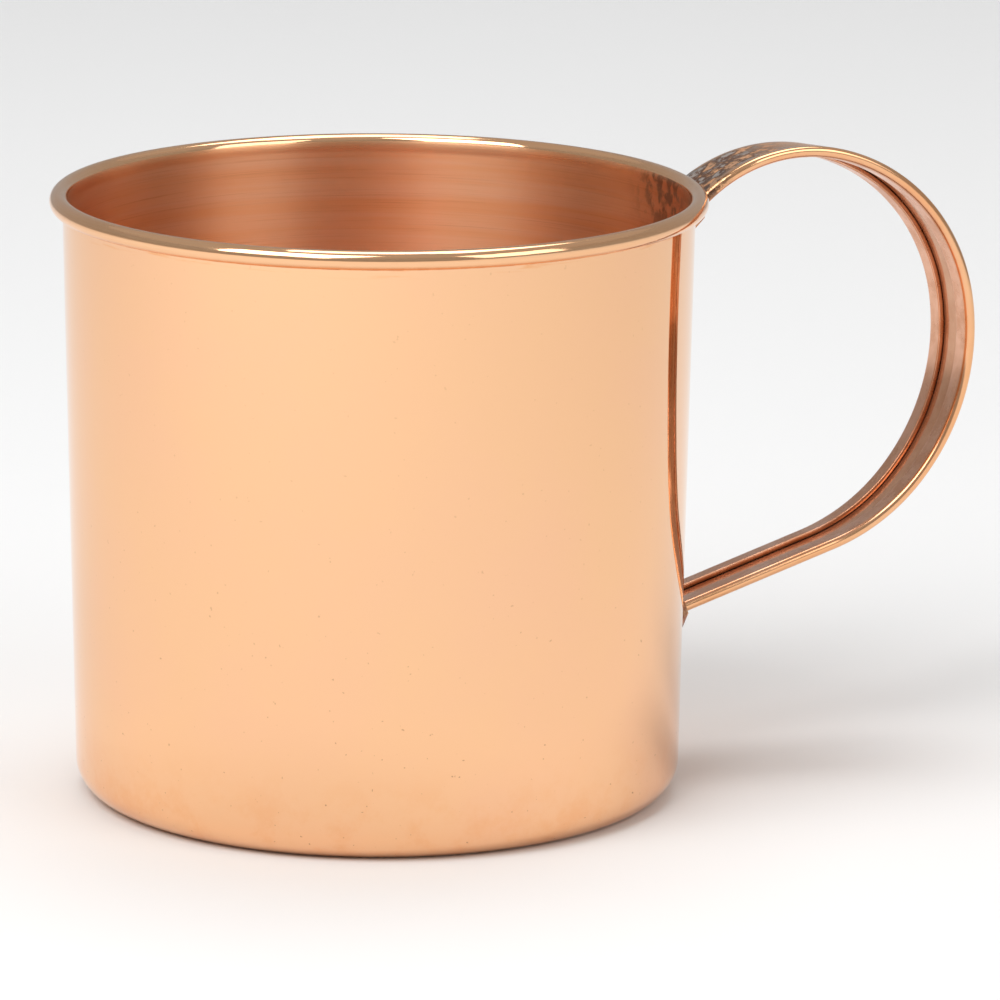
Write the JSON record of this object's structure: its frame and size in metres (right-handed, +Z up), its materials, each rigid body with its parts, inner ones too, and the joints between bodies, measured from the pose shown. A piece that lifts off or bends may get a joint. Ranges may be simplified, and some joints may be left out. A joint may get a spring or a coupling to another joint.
{
  "type": "drinking mug",
  "caption": "Copper mug: a plain sheet-metal cup, slightly wider at its wired rim, with a round loop handle of folded strap brazed to its wall.",
  "frame": {"origin": "centre of the mug's flat base, on the surface that it stands on", "axes": "+Z up along the cup's axis, +X towards the handle; the cup is round about Z and the handle lies along the XZ plane"},
  "size_m": [0.1361, 0.0926, 0.0897],
  "materials": {
    "copper": "polished",
    "copper_wire": "satin",
    "braze": "satin"
  },
  "bodies": {
    "root": {"cup_body": "copper", "rim_wire": "copper_wire", "handle_strap": "copper", "upper_braze": "braze", "lower_braze": "braze"}
  },
  "joints": []
}
